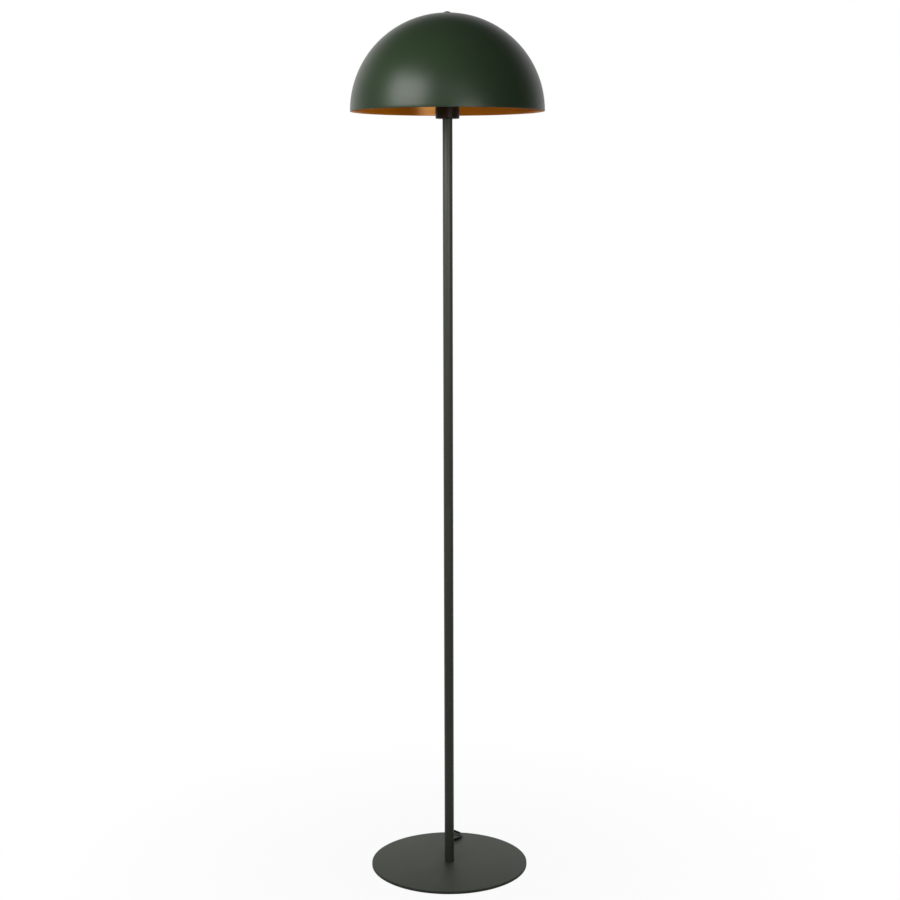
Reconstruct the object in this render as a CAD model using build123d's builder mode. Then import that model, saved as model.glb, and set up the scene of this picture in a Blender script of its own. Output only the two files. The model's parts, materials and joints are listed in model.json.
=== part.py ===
from build123d import *
import os
from math import atan2, cos, pi, sin, sqrt, tan

# Floor lamp: a half-round metal shade on a straight pole with a flat round base.
# Millimetres, +Z up, the origin in the middle of the base's underside.
# The cord leaves the back of the pole along +Y.

# Base
base_diameter = 300
base_thickness = 5
base_edge_radius = 0.8
pad_thickness = 1
pad_inset = 5
pad_hole_margin = 6
base_screw_diameter = 8
base_screw_head_diameter = 14.5
base_screw_length = 19
base_screw_key = 5
base_screw_key_depth = 2.5

# Pole, two screwed lengths of tube
pole_diameter = 18
pole_wall = 1.2
lower_pole_length = 700
upper_pole_length = 710
foot_plug_length = 16
joint_insert_length = 14
nipple_diameter = 10
nipple_bore = 7
joint_nipple_grip = 11
holder_nipple_grip = 11

# Lampholder for a bulb with a 27 mm screw cap
cap_diameter = 43
cap_height = 24
cap_floor = 3
cap_edge_radius = 1.5
cap_boss_wall = 3
cap_boss_height = 7
skirt_diameter = 39
skirt_height = 46
skirt_overlap = 12
skirt_wall = 3
skirt_shoulder = 1.4
insert_recess = 6
insert_height = 12
terminal_diameter = 4
terminal_spread = 9
terminal_drop = 2
terminal_depth = 6
contact_width = 5
contact_sheet = 0.6
contact_dome_diameter = 6
contact_dome_height = 2.6
contact_lug_diameter = 2
shell_sheet = 0.5
shell_height = 24

# Shade rings and the frame that carries the shade round the bulb
ring_stand_off = 6
ring_diameter = 58
ring_height = 5
frame_plate_diameter = 54
frame_plate_thickness = 1.5
frame_height = 146.4
frame_wire_diameter = 4
frame_foot_reach = 33
frame_ear_width = 12
frame_belly_reach = 42
frame_belly_start = 38
frame_belly_end = 50
frame_bend_radius = 14
frame_boss_diameter = 16
frame_boss_height = 8

# Shade and its fixing
shade_diameter = 350
shade_height = 171
shade_wall = 1
dome_steps = 5
shade_seat_diameter = 24
lower_washer_diameter = 20
lower_washer_thickness = 1.2
upper_washer_diameter = 16
upper_washer_thickness = 0.6
shade_screw_diameter = 6
shade_screw_grip = 7
shade_screw_head_diameter = 14
shade_screw_head_height = 2.7
shade_screw_key = 4
shade_screw_key_depth = 2

# Bulb
bulb_cap_diameter = 26.4
bulb_cap_height = 21
bulb_contact_diameter = 9.2
bulb_contact_height = 1.6
bulb_insulator_diameter = 23
bulb_insulator_height = 4.4
bulb_globe_diameter = 60
bulb_globe_rise = 46
bulb_neck_diameter = 28
bulb_glass = 1

# Cord, its wires and its bush in the pole
cord_diameter = 4.6
wire_diameter = 1.9
cord_exit_height = 28
cord_bend_radius = 12
cord_set_back = 4.8
cord_set_start = 170
cord_set_end = 110
cord_set_radius = 200
cord_bend_share = 0.45
cord_end_gap = 1
relief_length = 22
relief_flange_diameter = 12
relief_flange_thickness = 2
relief_root_diameter = 10
relief_tip_diameter = 7
relief_neck_diameter = 8.4
relief_neck_depth = 1.6

# In-line switch, lying flat on the floor behind the base
switch_start = 222
switch_length = 58
switch_width = 19
switch_height = 12.5
switch_split = 5
switch_corner_radius = 9
switch_wall = 1.6
switch_top_radius = 2.4
switch_bottom_radius = 1.2
switch_grip = 8
rocker_width = 8.4
rocker_length = 17.2
rocker_tilt = 8
rocker_pivot_height = 9
rocker_crest = 3.7
rocker_keel = 2.2
rocker_keel_width = 6
rocker_side_depth = 0.5
rocker_side_gap = 0.3
rocker_end_gap = 0.4
rocker_pin_diameter = 2.5
rocker_frame_wall = 2
rocker_frame_depth = 5.5
switch_screw_diameter = 2.5
switch_screw_head_diameter = 4.2
switch_screw_head_height = 1.6
switch_screw_offset = (6, 15)
switch_boss_diameter = 6.4
switch_screw_length = 9
switch_post_width = 5
switch_post_length = 7
switch_tongue_length = 9
switch_tongue_width = 3
switch_tongue_sheet = 0.8

# Hank of put-away cord, standing behind the switch
hank_behind_switch = 46
hank_run = 54
hank_fold_radius = 14.4
hank_step = 5.8
hank_drawn_in = 6.5
hank_layer_pitch = 5.05
hank_layers = 4
hank_half_turns = 3
hank_floor_gap = 0.3
hank_lead_in = 14
hank_lead_out = 10
tie_width = 8
tie_thickness = 0.8
tie_gap = 0.3

# Flat two-pin plug, lying on its slanting edge
plug_aside = 2.6
plug_behind_hank = 35
plug_length = 34
plug_taper_length = 28
plug_width = 35.3
plug_thickness = 13.7
plug_inlet_width = 13.6
plug_inlet_thickness = 11
plug_corner_radius = 4.5
plug_floor_gap = 0.2
pin_diameter = 4
pin_length = 19
pin_spacing = 18.6
pin_seat = 10
pin_tip_radius = 1.2

# Clearances on the radius: screw threads, pressed fits and running fits
thread_clearance = 0.05
press_clearance = 0.02
running_clearance = 0.1
bush_clearance = 0.05
loose_clearance = 0.3

# Levels up the lamp
base_bottom = pad_thickness
base_top = base_bottom + base_thickness
joint_level = base_top + lower_pole_length
pole_top = joint_level + upper_pole_length
cap_top = pole_top + cap_height
skirt_bottom = cap_top - skirt_overlap
insert_bottom = skirt_bottom + insert_recess
insert_top = insert_bottom + insert_height
contact_top = insert_top + contact_sheet + contact_dome_height
lower_ring_bottom = cap_top + ring_stand_off
frame_bottom = lower_ring_bottom + ring_height
frame_plate_top = frame_bottom + frame_plate_thickness
frame_top = frame_bottom + frame_height
shade_inner_seat = frame_top + lower_washer_thickness
shade_top = shade_inner_seat + shade_wall
shade_rim = shade_top - shade_height
bulb_cap_bottom = contact_top + bulb_contact_height + bulb_insulator_height
bulb_cap_top = bulb_cap_bottom + bulb_cap_height

# Radii that several pieces share
pole_radius = pole_diameter / 2
pole_bore = pole_radius - pole_wall
plug_in_pole = pole_bore - press_clearance
nipple_radius = nipple_diameter / 2
nipple_hole = nipple_radius + thread_clearance
skirt_radius = skirt_diameter / 2
skirt_bore = skirt_radius - skirt_wall
cord_radius = cord_diameter / 2
base_screw_radius = base_screw_diameter / 2
base_screw_head_radius = base_screw_head_diameter / 2
shade_screw_radius = shade_screw_diameter / 2
shell_bore = bulb_cap_diameter / 2 + running_clearance


def sleeve(bottom, height, radius, bore):
    """A plain turned sleeve on the lamp's axis."""
    with BuildPart() as turned:
        with BuildSketch(Plane.XY.offset(bottom)):
            Circle(radius)
            Circle(bore, mode=Mode.SUBTRACT)
        extrude(amount=height)
    return turned


def biarc(start, start_direction, end, end_direction):
    """Two arcs, tangent to each other and to both directions, drawn in the open line."""
    chord = end - start
    along = chord.dot(start_direction + end_direction)
    spread = 2 * (1 - start_direction.dot(end_direction))
    if spread < 1e-9:
        reach = chord.dot(chord) / (2 * along)
    else:
        reach = (sqrt(along**2 + spread * chord.dot(chord)) - along) / spread
    first_corner = start + start_direction * reach
    second_corner = end - end_direction * reach
    middle = (first_corner + second_corner) / 2
    TangentArc(start, middle, tangent=start_direction)
    TangentArc(middle, end, tangent=second_corner - first_corner)


def swept_cord(path, radius):
    """A round cord along a line."""
    with BuildPart() as cord:
        with BuildSketch(Plane(origin=path @ 0, z_dir=path % 0)):
            Circle(radius)
        sweep(path=path)
    print("cord volume over section times length", cord.part.volume / (pi * radius**2 * path.length))
    return cord


# Base: a foam pad, a steel disc and the countersunk screw that holds the pole
base_pad = sleeve(
    0, pad_thickness, base_diameter / 2 - pad_inset, base_screw_head_radius + pad_hole_margin
)

with BuildPart() as base_plate:
    with BuildSketch(Plane.XY.offset(base_bottom)):
        Circle(base_diameter / 2)
    extrude(amount=base_thickness)
    fillet(base_plate.edges().group_by(Axis.Z)[-1], base_edge_radius)
    with Locations(Location((0, 0, base_bottom), (180, 0, 0))):
        CounterSinkHole(
            base_screw_radius + thread_clearance,
            base_screw_head_radius + thread_clearance,
            base_thickness,
            90,
        )

with BuildPart() as base_screw:
    with BuildSketch(Plane.XZ):
        with BuildLine():
            Polyline(
                (0, base_bottom),
                (base_screw_head_radius, base_bottom),
                (base_screw_radius, base_bottom + base_screw_head_radius - base_screw_radius),
                (base_screw_radius, base_bottom + base_screw_length),
                (0, base_bottom + base_screw_length),
                close=True,
            )
        make_face()
    revolve(axis=Axis.Z)
    with BuildSketch(Plane.XY.offset(base_bottom)):
        RegularPolygon(base_screw_key / 2, 6, major_radius=False)
    extrude(amount=base_screw_key_depth, mode=Mode.SUBTRACT)

# Pole: plugs and inserts are fixed in the tubes, hollow nipples join them
pole_foot_plug = sleeve(
    base_top, foot_plug_length, plug_in_pole, base_screw_radius + thread_clearance
)

with BuildPart() as lower_pole:
    with BuildSketch(Plane.XY.offset(base_top)):
        Circle(pole_radius)
        Circle(pole_bore, mode=Mode.SUBTRACT)
    extrude(amount=lower_pole_length)
    with BuildSketch(Plane((0, 0, cord_exit_height), (1, 0, 0), (0, 1, 0))):
        Circle(relief_neck_diameter / 2 + bush_clearance)
    extrude(amount=pole_diameter, mode=Mode.SUBTRACT)

lower_joint_insert = sleeve(
    joint_level - joint_insert_length, joint_insert_length, plug_in_pole, nipple_hole
)
upper_joint_insert = sleeve(joint_level, joint_insert_length, plug_in_pole, nipple_hole)
joint_nipple = sleeve(
    joint_level - joint_nipple_grip, 2 * joint_nipple_grip, nipple_radius, nipple_bore / 2
)
upper_pole = sleeve(joint_level, upper_pole_length, pole_radius, pole_bore)
pole_top_plug = sleeve(
    pole_top - joint_insert_length, joint_insert_length, plug_in_pole, nipple_hole
)
holder_nipple = sleeve(
    pole_top - holder_nipple_grip,
    holder_nipple_grip + cap_floor + cap_boss_height,
    nipple_radius,
    nipple_bore / 2,
)

# Lampholder: a cap screwed on the nipple, a skirt screwed in the cap, an insert with the contacts
with BuildPart() as holder_cap:
    with BuildSketch(Plane.XY.offset(pole_top)):
        Circle(cap_diameter / 2)
    extrude(amount=cap_height)
    fillet(holder_cap.edges().group_by(Axis.Z)[0], cap_edge_radius)
    with BuildSketch(Plane.XY.offset(pole_top + cap_floor)):
        Circle(skirt_radius + thread_clearance)
    extrude(amount=cap_height, mode=Mode.SUBTRACT)
    with BuildSketch(Plane.XY.offset(pole_top + cap_floor)):
        Circle(nipple_radius + cap_boss_wall)
    extrude(amount=cap_boss_height)
    with BuildSketch(Plane.XY.offset(pole_top)):
        Circle(nipple_hole)
    extrude(amount=cap_height, mode=Mode.SUBTRACT)

with BuildPart() as holder_skirt:
    with BuildSketch(Plane.XY.offset(skirt_bottom)):
        Circle(skirt_radius)
        Circle(skirt_bore - skirt_shoulder, mode=Mode.SUBTRACT)
    extrude(amount=skirt_height)
    with BuildSketch(Plane.XY.offset(skirt_bottom)):
        Circle(skirt_bore)
    extrude(amount=insert_top - skirt_bottom, mode=Mode.SUBTRACT)

terminal_places = ((-terminal_spread, 0), (terminal_spread, 0))

with BuildPart() as holder_insert:
    with BuildSketch(Plane.XY.offset(insert_bottom)):
        Circle(skirt_bore - running_clearance)
    extrude(amount=insert_height)
    with BuildSketch(Plane.XY.offset(insert_bottom)):
        with Locations(*terminal_places):
            Circle(terminal_diameter / 2 + bush_clearance)
    extrude(amount=terminal_depth, mode=Mode.SUBTRACT)
    with BuildSketch(Plane.XY.offset(insert_bottom)):
        with Locations(*terminal_places):
            Circle(contact_lug_diameter / 2 + bush_clearance)
    extrude(amount=insert_height, mode=Mode.SUBTRACT)

with BuildPart() as holder_terminals:
    with BuildSketch(Plane.XY.offset(insert_bottom - terminal_drop)):
        with Locations(*terminal_places):
            Circle(terminal_diameter / 2)
    extrude(amount=terminal_drop + terminal_depth)

lug_length = insert_height - terminal_depth

with BuildPart() as centre_contact:
    with BuildSketch(Plane.XY.offset(insert_top)):
        with Locations((terminal_spread / 2, 0)):
            SlotCenterToCenter(terminal_spread, contact_width)
    extrude(amount=contact_sheet)
    with BuildSketch(Plane.XY.offset(insert_top + contact_sheet)):
        Circle(contact_dome_diameter / 2)
    extrude(amount=contact_dome_height)
    with BuildSketch(Plane.XY.offset(insert_top)):
        with Locations((terminal_spread, 0)):
            Circle(contact_lug_diameter / 2)
    extrude(amount=-lug_length)

with BuildPart() as screw_shell:
    with BuildSketch(Plane.XY.offset(insert_top)):
        Circle(shell_bore + shell_sheet)
        Circle(shell_bore, mode=Mode.SUBTRACT)
    extrude(amount=shell_height)
    with BuildSketch(Plane.XY.offset(insert_top)):
        with Locations((-terminal_spread, 0)):
            Circle(contact_width / 2)
            Rectangle(
                shell_bore + shell_sheet / 2 - terminal_spread,
                contact_width,
                align=(Align.MAX, Align.CENTER),
            )
    extrude(amount=contact_sheet)
    with BuildSketch(Plane.XY.offset(insert_top)):
        with Locations((-terminal_spread, 0)):
            Circle(contact_lug_diameter / 2)
    extrude(amount=-lug_length)

# Shade frame: a plate clamped between two rings on the skirt, two bowed wires and a threaded boss
lower_shade_ring = sleeve(
    lower_ring_bottom, ring_height, ring_diameter / 2, skirt_radius + thread_clearance
)
upper_shade_ring = sleeve(
    frame_plate_top, ring_height, ring_diameter / 2, skirt_radius + thread_clearance
)

with BuildPart() as shade_frame:
    with BuildSketch(Plane.XY.offset(frame_bottom)):
        Circle(frame_plate_diameter / 2)
        SlotOverall(2 * frame_foot_reach + frame_ear_width, frame_ear_width)
        Circle(skirt_radius + loose_clearance, mode=Mode.SUBTRACT)
    extrude(amount=frame_plate_thickness)
    with BuildSketch(Plane.XY.offset(frame_top)):
        Circle(frame_boss_diameter / 2)
    extrude(amount=-frame_boss_height)
    with BuildLine(Plane.XZ) as frame_wire:
        FilletPolyline(
            (frame_foot_reach, frame_bottom + frame_plate_thickness / 2),
            (frame_belly_reach, frame_plate_top + frame_belly_start),
            (frame_belly_reach, frame_top - frame_belly_end),
            (0, frame_top - frame_boss_height / 2),
            radius=frame_bend_radius,
        )
    with BuildSketch(Plane(origin=frame_wire.wire() @ 0, z_dir=frame_wire.wire() % 0)):
        Circle(frame_wire_diameter / 2)
    frame_leg = sweep(path=frame_wire.wire())
    mirror(frame_leg, about=Plane.YZ)
    with BuildSketch(Plane.XY.offset(frame_bottom)):
        Circle(frame_belly_reach)
    extrude(amount=-frame_wire_diameter, mode=Mode.SUBTRACT)
    with BuildSketch(Plane.XY.offset(frame_top)):
        Circle(shade_screw_radius + thread_clearance)
    extrude(amount=-2 * frame_boss_height, mode=Mode.SUBTRACT)

# Shade: a spun half-round dome with a small flat seat at its top
shade_radius = shade_diameter / 2
shade_seat = shade_seat_diameter / 2
dome_rise = shade_height / sqrt(1 - (shade_seat / shade_radius) ** 2)
inner_radius = shade_radius - shade_wall
inner_rise = dome_rise - shade_wall
inner_seat = inner_radius * sqrt(1 - ((shade_height - shade_wall) / inner_rise) ** 2)


def dome_curve(radius, rise):
    """A quarter of an ellipse from the rim to the top, drawn in the open line."""
    turns = [pi / 2 * step / dome_steps for step in range(dome_steps)]
    points = [(radius * cos(turn), rise * sin(turn)) for turn in turns]
    Spline(*points, (0, rise), tangents=((0, 1), (-1, 0)))


with BuildPart() as shade:
    with BuildSketch(Plane((0, 0, shade_rim), (1, 0, 0), (0, -1, 0))):
        with BuildLine():
            dome_curve(shade_radius, dome_rise)
            Line((0, dome_rise), (0, inner_rise))
            dome_curve(inner_radius, inner_rise)
            Line((inner_radius, 0), (shade_radius, 0))
        make_face()
        Rectangle(shade_radius, shade_height, align=Align.MIN, mode=Mode.INTERSECT)
        with Locations((0, shade_height - shade_wall)):
            Rectangle(inner_seat, shade_wall, align=Align.MIN)
            Rectangle(
                shade_screw_radius + running_clearance, shade_wall, align=Align.MIN, mode=Mode.SUBTRACT
            )
    revolve(axis=Axis.Z)

lower_washer = sleeve(
    frame_top, lower_washer_thickness, lower_washer_diameter / 2, shade_screw_radius + running_clearance
)
upper_washer = sleeve(
    shade_top, upper_washer_thickness, upper_washer_diameter / 2, shade_screw_radius + running_clearance
)
screw_seat = shade_top + upper_washer_thickness
screw_crown = screw_seat + shade_screw_head_height
screw_tip = frame_top - shade_screw_grip
head_radius = shade_screw_head_diameter / 2

with BuildPart() as shade_screw:
    with BuildSketch(Plane.XZ):
        with BuildLine():
            Polyline(
                (0, screw_crown),
                (0, screw_tip),
                (shade_screw_radius, screw_tip),
                (shade_screw_radius, screw_seat),
                (head_radius, screw_seat),
            )
            TangentArc((0, screw_crown), (head_radius, screw_seat), tangent=(1, 0))
        make_face()
    revolve(axis=Axis.Z)
    with BuildSketch(Plane.XY.offset(screw_crown)):
        RegularPolygon(shade_screw_key / 2, 6, major_radius=False)
    extrude(amount=-shade_screw_key_depth, mode=Mode.SUBTRACT)

# Bulb: contact, glass insulator, screw cap and a pear-shaped opal globe
with BuildPart() as bulb_contact:
    with BuildSketch(Plane.XY.offset(contact_top)):
        Circle(bulb_contact_diameter / 2)
    extrude(amount=bulb_contact_height)

with BuildPart() as bulb_insulator:
    with BuildSketch(Plane.XY.offset(contact_top + bulb_contact_height)):
        Circle(bulb_contact_diameter / 2)
    with BuildSketch(Plane.XY.offset(bulb_cap_bottom)):
        Circle(bulb_insulator_diameter / 2)
    loft()

with BuildPart() as bulb_cap:
    with BuildSketch(Plane.XY.offset(bulb_cap_bottom)):
        Circle(bulb_cap_diameter / 2)
    extrude(amount=bulb_cap_height)
    chamfer(bulb_cap.edges().group_by(Axis.Z)[0], (bulb_cap_diameter - bulb_insulator_diameter) / 2)

globe_centre = bulb_cap_top + bulb_globe_rise
globe_radius = bulb_globe_diameter / 2
neck_radius = bulb_neck_diameter / 2
neck_sum = globe_radius + neck_radius
neck_curve = (bulb_globe_rise**2 / (globe_radius - neck_radius) - neck_sum) / 2
neck_share = globe_radius / (globe_radius + neck_curve)
neck_end = Vector(
    neck_share * (neck_radius + neck_curve), globe_centre - neck_share * bulb_globe_rise
)
neck_way = (Vector(0, globe_centre) - neck_end).normalized()

with BuildPart() as bulb_globe:
    with BuildSketch(Plane.XZ):
        with BuildLine():
            outer_neck = TangentArc((neck_radius, bulb_cap_top), neck_end, tangent=(0, 1))
            TangentArc(outer_neck @ 1, (0, globe_centre + globe_radius), tangent=outer_neck % 1)
            Line((0, globe_centre + globe_radius), (0, globe_centre + globe_radius - bulb_glass))
            inner_neck = TangentArc(
                (neck_radius - bulb_glass, bulb_cap_top),
                neck_end + neck_way * bulb_glass,
                tangent=(0, 1),
            )
            TangentArc(
                inner_neck @ 1, (0, globe_centre + globe_radius - bulb_glass), tangent=inner_neck % 1
            )
            Line((neck_radius - bulb_glass, bulb_cap_top), (neck_radius, bulb_cap_top))
        make_face()
    revolve(axis=Axis.Z)

# Inner cord: down the pole, then out of its back through the bush, and two wires in the holder
relief_tip = pole_radius + relief_length
inner_cord_top = pole_top + cap_floor + cap_boss_height + cord_end_gap

with BuildLine() as inner_route:
    FilletPolyline(
        (0, 0, inner_cord_top),
        (0, 0, cord_set_start),
        (0, -cord_set_back, cord_set_end),
        (0, -cord_set_back, cord_exit_height),
        (0, relief_tip, cord_exit_height),
        radius=[cord_set_radius, cord_set_radius, cord_bend_radius],
    )
inner_cord = swept_cord(inner_route.wire(), cord_radius)

with BuildPart() as cord_relief:
    with BuildSketch(Plane.YZ):
        with BuildLine():
            Polyline(
                (0, cord_exit_height),
                (0, cord_exit_height + relief_flange_diameter / 2),
                (pole_radius + relief_flange_thickness, cord_exit_height + relief_flange_diameter / 2),
                (pole_radius + relief_flange_thickness, cord_exit_height + relief_root_diameter / 2),
                (relief_tip, cord_exit_height + relief_tip_diameter / 2),
                (relief_tip, cord_exit_height),
                close=True,
            )
        make_face()
    revolve(axis=Axis((0, 0, cord_exit_height), (0, 1, 0)))
    with BuildSketch(Plane.XY):
        Circle(pole_radius + bush_clearance)
    extrude(amount=2 * cord_exit_height, mode=Mode.SUBTRACT)
    with BuildSketch(Plane((0, pole_radius - relief_neck_depth, cord_exit_height), (1, 0, 0), (0, 1, 0))):
        Circle(relief_neck_diameter / 2)
    extrude(amount=relief_neck_depth + relief_flange_thickness)
    with BuildSketch(Plane((0, 0, cord_exit_height), (1, 0, 0), (0, 1, 0))):
        Circle(cord_radius + bush_clearance)
    extrude(amount=relief_tip, mode=Mode.SUBTRACT)


def wire_to(side):
    """A wire from the cord's end to the terminal on one side."""
    terminal_bottom = insert_bottom - terminal_drop
    bend = (terminal_bottom - inner_cord_top) / 3
    with BuildLine() as route:
        FilletPolyline(
            (side * wire_diameter / 2, 0, inner_cord_top),
            (side * wire_diameter / 2, 0, inner_cord_top + bend),
            (side * terminal_spread, 0, terminal_bottom - bend),
            (side * terminal_spread, 0, terminal_bottom),
            radius=wire_diameter,
        )
    return swept_cord(route.wire(), wire_diameter / 2)


live_wire = wire_to(1)
neutral_wire = wire_to(-1)

# Free cord: out of the bush, down on the plate, over its rear edge and along the floor
cord_route = [
    (0, relief_tip, cord_exit_height),
    (0, 44, cord_exit_height),
    (0, 59.5, 17),
    (0, 75, 8.9),
    (0, 96, 8.5),
    (24, 114.5, 8.5),
    (24.5, 135.5, 9),
    (2, 154, 9.5),
    (0, 173, 5),
    (0, 191, 2.6),
    (0, 206, 3.4),
    (0, 216, switch_split),
    (0, switch_start + switch_grip, switch_split),
]


def bend_radii(points):
    """The radius at each corner of a route, as large as its two runs allow."""
    radii = []
    for before, corner, after in zip(points, points[1:], points[2:]):
        way_in = Vector(corner) - Vector(before)
        way_out = Vector(after) - Vector(corner)
        half_turn = way_in.get_angle(way_out) * pi / 360
        radii.append(cord_bend_share * min(way_in.length, way_out.length) / tan(half_turn))
    return radii


route_radii = bend_radii(cord_route)
print("cord radii", [round(radius, 1) for radius in route_radii])
with BuildLine() as free_route:
    FilletPolyline(*cord_route, radius=route_radii)
cord_to_switch = swept_cord(free_route.wire(), cord_radius)

# Switch: two shells on the cord, a rocker on its own pins, contacts and two screws
switch_middle = switch_start + switch_length / 2
switch_end = switch_start + switch_length
screw_x, screw_y = switch_screw_offset
switch_screw_places = ((-screw_x, switch_middle - screw_y), (screw_x, switch_middle + screw_y))
pivot = (0, switch_middle, rocker_pivot_height)
inner_width = switch_width - 2 * switch_wall
inner_length = switch_length - 2 * switch_wall
inner_corner = switch_corner_radius - switch_wall


def switch_outline(length, width, corner):
    """The switch's rounded plan, in its place along the cord."""
    with Locations((0, switch_middle)):
        RectangleRounded(width, length, corner)


def screw_column(diameter):
    """A circle at each of the switch's screws."""
    with Locations(*switch_screw_places):
        Circle(diameter / 2)


with BuildPart() as switch_lower_shell:
    with BuildSketch(Plane.XY):
        switch_outline(switch_length, switch_width, switch_corner_radius)
    extrude(amount=switch_split)
    fillet(switch_lower_shell.edges().group_by(Axis.Z)[0], switch_bottom_radius)
    with BuildSketch(Plane.XY.offset(switch_wall)):
        switch_outline(inner_length, inner_width, inner_corner)
    extrude(amount=switch_split, mode=Mode.SUBTRACT)
    with BuildSketch(Plane.XY.offset(switch_wall)):
        screw_column(switch_boss_diameter)
    extrude(amount=switch_split - switch_wall)
    with BuildSketch(Plane.XY):
        screw_column(switch_screw_diameter + 2 * running_clearance)
    extrude(amount=switch_split, mode=Mode.SUBTRACT)
    with BuildSketch(Plane.XY):
        screw_column(switch_screw_head_diameter + 2 * running_clearance)
    extrude(amount=switch_screw_head_height, mode=Mode.SUBTRACT)
    with BuildSketch(Plane((0, switch_start, switch_split), (1, 0, 0), (0, 1, 0))):
        Circle(cord_radius + bush_clearance)
    extrude(amount=switch_length, mode=Mode.SUBTRACT)

rocker_reach = rocker_length / 2
rocker_rise = rocker_crest + rocker_reach * tan(rocker_tilt * pi / 180)
swing_reach = rocker_reach * cos(rocker_tilt * pi / 180) + rocker_rise * sin(rocker_tilt * pi / 180)
opening_width = rocker_width + 2 * rocker_side_gap
opening_length = 2 * (swing_reach + rocker_end_gap)
frame_width = opening_width + 2 * rocker_frame_wall
switch_roof = switch_height - switch_wall

with BuildPart() as switch_upper_shell:
    with BuildSketch(Plane.XY.offset(switch_split)):
        switch_outline(switch_length, switch_width, switch_corner_radius)
    extrude(amount=switch_height - switch_split)
    fillet(switch_upper_shell.edges().group_by(Axis.Z)[-1], switch_top_radius)
    with BuildSketch(Plane.XY.offset(switch_split)):
        switch_outline(inner_length, inner_width, inner_corner)
    extrude(amount=switch_roof - switch_split, mode=Mode.SUBTRACT)
    with BuildSketch(Plane.XY.offset(switch_roof)):
        with Locations((0, switch_middle)):
            Rectangle(frame_width, opening_length + 2 * rocker_frame_wall)
    extrude(amount=switch_wall - rocker_frame_depth)
    with BuildSketch(Plane.XY.offset(switch_split)):
        screw_column(switch_boss_diameter)
    extrude(amount=switch_roof - switch_split)
    with BuildSketch(Plane.XY.offset(switch_split)):
        screw_column(switch_screw_diameter + 2 * thread_clearance)
    extrude(amount=switch_screw_length - switch_split + switch_screw_head_height, mode=Mode.SUBTRACT)
    with BuildSketch(Plane.XY.offset(switch_split)):
        with Locations((0, switch_middle)):
            Rectangle(opening_width, opening_length)
    extrude(amount=switch_height, mode=Mode.SUBTRACT)
    with BuildSketch(Plane(pivot, (0, 1, 0), (1, 0, 0))):
        Circle(rocker_pin_diameter / 2 + bush_clearance)
    extrude(amount=frame_width / 2, both=True, mode=Mode.SUBTRACT)
    with BuildSketch(Plane((0, switch_start, switch_split), (1, 0, 0), (0, 1, 0))):
        Circle(cord_radius + bush_clearance)
    extrude(amount=switch_length, mode=Mode.SUBTRACT)

rocker_way = (0, cos(rocker_tilt * pi / 180), sin(rocker_tilt * pi / 180))

with BuildPart() as switch_rocker:
    with BuildSketch(Plane(pivot, rocker_way, (1, 0, 0))):
        with BuildLine():
            Polyline(
                (-rocker_reach, -rocker_side_depth),
                (-rocker_keel_width / 2, -rocker_keel),
                (rocker_keel_width / 2, -rocker_keel),
                (rocker_reach, -rocker_side_depth),
                (rocker_reach, rocker_rise),
                (0, rocker_crest),
                (-rocker_reach, rocker_rise),
                close=True,
            )
        make_face()
    extrude(amount=rocker_width / 2, both=True)
    with BuildSketch(Plane(pivot, (0, 1, 0), (1, 0, 0))):
        Circle(rocker_pin_diameter / 2)
    extrude(amount=frame_width / 2 - rocker_side_gap, both=True)

with BuildPart() as switch_screws:
    with BuildSketch(Plane.XY):
        screw_column(switch_screw_head_diameter)
    extrude(amount=switch_screw_head_height)
    with BuildSketch(Plane.XY.offset(switch_screw_head_height)):
        screw_column(switch_screw_diameter)
    extrude(amount=switch_screw_length)

with BuildPart() as switch_contacts:
    for end, way in ((switch_start, 1), (switch_end, -1)):
        post_start = end + way * switch_grip
        with BuildSketch(Plane.XY.offset(switch_wall)):
            with Locations((0, post_start + way * switch_post_length / 2)):
                Rectangle(switch_post_width, switch_post_length)
        extrude(amount=switch_split + cord_radius - 2 * switch_wall)
        with BuildSketch(Plane.XY.offset(switch_split)):
            with Locations((0, post_start + way * (switch_post_length + switch_tongue_length / 2))):
                Rectangle(switch_tongue_width, switch_tongue_length)
        extrude(amount=switch_tongue_sheet)

# Plug: a tapered flat body lying on its slanting edge, with two round pins
plug_slope = atan2((plug_width - plug_inlet_width) / 2, plug_taper_length)
plug_way = Vector(0, cos(plug_slope), sin(plug_slope))
hank_start = switch_end + hank_behind_switch
hank_end = hank_start + hank_run
plug_y = hank_end + plug_behind_hank
plug_end = Vector(plug_aside, plug_y, plug_floor_gap + plug_inlet_width / 2 * cos(plug_slope))


def plug_plane(along):
    """The plane across the plug at a distance from its cord end."""
    return Plane(plug_end + plug_way * along, (1, 0, 0), plug_way)


def pin_circles(diameter):
    """A circle at each pin."""
    with GridLocations(0, pin_spacing, 1, 2):
        Circle(diameter / 2)


with BuildPart() as plug_body:
    with BuildSketch(plug_plane(0)):
        RectangleRounded(plug_inlet_thickness, plug_inlet_width, plug_corner_radius)
    with BuildSketch(plug_plane(plug_taper_length)):
        RectangleRounded(plug_thickness, plug_width, plug_corner_radius)
    loft(ruled=True)
    with BuildSketch(plug_plane(plug_taper_length)):
        RectangleRounded(plug_thickness, plug_width, plug_corner_radius)
    extrude(amount=plug_length - plug_taper_length)
    with BuildSketch(plug_plane(plug_length)):
        pin_circles(pin_diameter + 2 * press_clearance)
    extrude(amount=-pin_seat, mode=Mode.SUBTRACT)

with BuildPart() as plug_pins:
    with BuildSketch(plug_plane(plug_length - pin_seat)):
        pin_circles(pin_diameter)
    extrude(amount=pin_seat + pin_length)
    fillet(plug_pins.faces().sort_by(Axis(plug_end, plug_way))[-2:].edges(), pin_tip_radius)

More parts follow.
